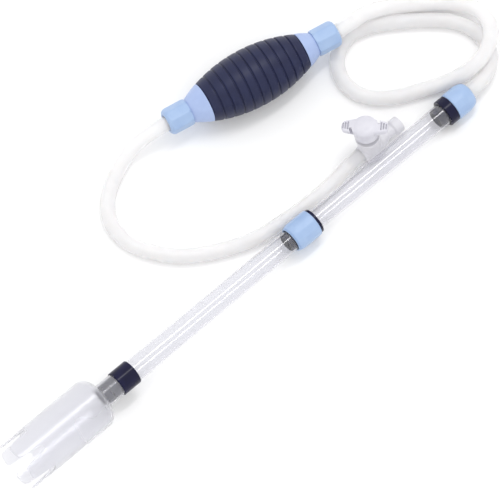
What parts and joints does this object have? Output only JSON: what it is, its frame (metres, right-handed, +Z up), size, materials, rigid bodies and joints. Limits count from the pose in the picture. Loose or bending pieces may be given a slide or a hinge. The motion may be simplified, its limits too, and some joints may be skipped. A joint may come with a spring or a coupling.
{
  "type": "gravel vacuum siphon",
  "caption": "Aquarium gravel siphon: clear wand with a fingered bell, a ribbed squeeze bulb with check valves, soft hose and a butterfly tap, laid flat.",
  "frame": {"origin": "on the surface the siphon lies on, under the middle of the rigid parts' footprint", "axes": "+X along the wand from the bell towards the hose end, +Z up"},
  "size_m": [0.7062, 0.2229, 0.0628],
  "materials": {
    "clear_plastic": "clear, glossy, faint lavender tint",
    "black_plastic": "glossy moulded black",
    "blue_plastic": "satin moulded light sky blue",
    "cap_blue_plastic": "satin moulded periwinkle blue",
    "navy_rubber": "satin ribbed navy rubber",
    "seal_rubber": "black sealing rubber",
    "valve_rubber": "soft grey silicone rubber",
    "milky_hose": "soft milky translucent hose",
    "white_plastic": "moulded off-white valve parts",
    "grey_plastic": "moulded light grey",
    "pale_grey_plastic": "moulded pale grey"
  },
  "bodies": {
    "root": {"bell_collar": "black_plastic", "bell_strainer": "black_plastic", "bell_seal": "seal_rubber", "lower_tube": "clear_plastic", "coupling_body": "black_plastic", "coupling_seal": "seal_rubber", "upper_tube": "clear_plastic", "top_adaptor": "black_plastic", "hose_wand_to_bulb": "milky_hose", "bulb_rubber": "navy_rubber", "outlet_cap": "cap_blue_plastic", "outlet_valve_seat": "white_plastic", "inlet_cap": "cap_blue_plastic", "inlet_valve_seat": "white_plastic", "hose_bulb_to_tap": "milky_hose", "tap_body": "grey_plastic", "tap_bonnet": "grey_plastic"},
    "bell": {"bell_head": "clear_plastic"},
    "coupling_clamp": {"coupling_gland": "seal_rubber"},
    "coupling_nut": {"coupling_nut": "blue_plastic"},
    "top_clamp": {"top_ferrule": "white_plastic"},
    "top_nut": {"top_nut": "blue_plastic"},
    "outlet_clamp": {"outlet_ferrule": "white_plastic"},
    "outlet_nut": {"outlet_nut": "blue_plastic"},
    "inlet_clamp": {"inlet_ferrule": "white_plastic"},
    "inlet_nut": {"inlet_nut": "blue_plastic"},
    "inlet_valve": {"inlet_valve_disc": "valve_rubber"},
    "outlet_valve": {"outlet_valve_disc": "valve_rubber"},
    "tap_valve": {"tap_plug": "white_plastic", "tap_seals": "seal_rubber", "tap_handle": "pale_grey_plastic"}
  },
  "joints": [
    {"name": "bell_pull", "type": "slide", "parent": "root", "child": "bell", "axis": [-0.9997, 0, 0.0241], "range_m": [0, 0.024]},
    {"name": "coupling_clamp_slide", "type": "slide", "parent": "root", "child": "coupling_clamp", "axis": [-0.9997, 0, 0.0241], "range_m": [0, 0.006]},
    {"name": "coupling_nut_turn", "type": "hinge", "parent": "coupling_clamp", "child": "coupling_nut", "pos_m": [0.07619, -0.0825, 0.02109], "axis": [-0.9997, 0, 0.0241], "range_deg": [0, 1081]},
    {"name": "top_clamp_slide", "type": "slide", "parent": "root", "child": "top_clamp", "axis": [0.9997, 0, -0.0241], "range_m": [0, 0.004]},
    {"name": "top_nut_turn", "type": "hinge", "parent": "top_clamp", "child": "top_nut", "pos_m": [0.30112, -0.0825, 0.01566], "axis": [0.9997, 0, -0.0241], "range_deg": [0, 721]},
    {"name": "outlet_clamp_slide", "type": "slide", "parent": "root", "child": "outlet_clamp", "axis": [-0.9779, 0.2093, 0], "range_m": [0, 0.004]},
    {"name": "outlet_nut_turn", "type": "hinge", "parent": "outlet_clamp", "child": "outlet_nut", "pos_m": [0.06761, 0.09458, 0.0314], "axis": [-0.9779, 0.2093, 0], "range_deg": [0, 721]},
    {"name": "inlet_clamp_slide", "type": "slide", "parent": "root", "child": "inlet_clamp", "axis": [0.9779, -0.2093, 0], "range_m": [0, 0.004]},
    {"name": "inlet_nut_turn", "type": "hinge", "parent": "inlet_clamp", "child": "inlet_nut", "pos_m": [0.24069, 0.05754, 0.0314], "axis": [0.9779, -0.2093, 0], "range_deg": [0, 721]},
    {"name": "inlet_valve_lift", "type": "slide", "parent": "root", "child": "inlet_valve", "axis": [-0.9779, 0.2093, 0], "range_m": [0, 0.0025]},
    {"name": "bulb_squeeze", "type": "slide", "parent": "root", "child": "outlet_valve", "axis": [-0.9779, 0.2093, 0], "range_m": [0, 0.0025], "stiffness_N_per_m": 120, "deforming": ["bulb_rubber"]},
    {"name": "tap_turn", "type": "hinge", "parent": "root", "child": "tap_valve", "pos_m": [0.198, -0.0585, 0.0128], "axis": [0, 0.2079, 0.9781], "range_deg": [-42, 48]}
  ],
  "couplings": [
    {"joint": "coupling_nut_turn", "follows": "coupling_clamp_slide", "rad_per_m": 3141.6},
    {"joint": "top_nut_turn", "follows": "top_clamp_slide", "rad_per_m": 3141.6},
    {"joint": "outlet_nut_turn", "follows": "outlet_clamp_slide", "rad_per_m": 3141.6},
    {"joint": "inlet_nut_turn", "follows": "inlet_clamp_slide", "rad_per_m": 3141.6}
  ]
}
